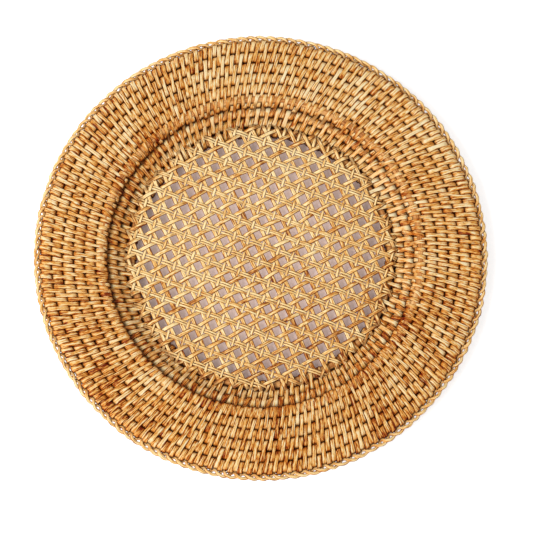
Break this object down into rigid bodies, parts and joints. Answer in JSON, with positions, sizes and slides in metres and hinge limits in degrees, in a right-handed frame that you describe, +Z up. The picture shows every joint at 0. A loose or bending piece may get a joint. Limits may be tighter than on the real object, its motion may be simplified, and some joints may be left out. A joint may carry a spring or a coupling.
{
  "type": "charger plate",
  "caption": "Round rattan charger plate: lashed concentric hoops form a broad rim and a stepped well with an open cane-woven centre and a looped lace edge.",
  "frame": {"origin": "on the plate's axis, in the plane that it stands on", "axes": "+Z up along the plate's axis; X and Y in the table top, +Y up the picture"},
  "size_m": [0.33, 0.33, 0.0213],
  "materials": {
    "hoop_rattan": "satin",
    "rim_strip": "satin",
    "wall_strip": "satin",
    "lace_strand": "satin",
    "cane_strand": "satin"
  },
  "bodies": {
    "root": {"rim_hoop_1": "hoop_rattan", "rim_hoop_2": "hoop_rattan", "rim_hoop_3": "hoop_rattan", "rim_hoop_4": "hoop_rattan", "rim_hoop_5": "hoop_rattan", "rim_hoop_6": "hoop_rattan", "wall_hoop_1": "hoop_rattan", "wall_hoop_2": "hoop_rattan", "base_hoop": "hoop_rattan", "edge_lashing": "rim_strip", "rim_lashing_1": "rim_strip", "rim_lashing_2": "rim_strip", "rim_lashing_3": "rim_strip", "rim_lashing_4": "rim_strip", "rim_lashing_5": "rim_strip", "shoulder_lashing": "rim_strip", "wall_lashing": "wall_strip", "base_lashing": "wall_strip", "lace_upper": "lace_strand", "lace_lower": "lace_strand", "cane_warp": "cane_strand", "cane_weft": "cane_strand", "cane_diagonal_1": "cane_strand", "cane_diagonal_2": "cane_strand"}
  },
  "joints": []
}
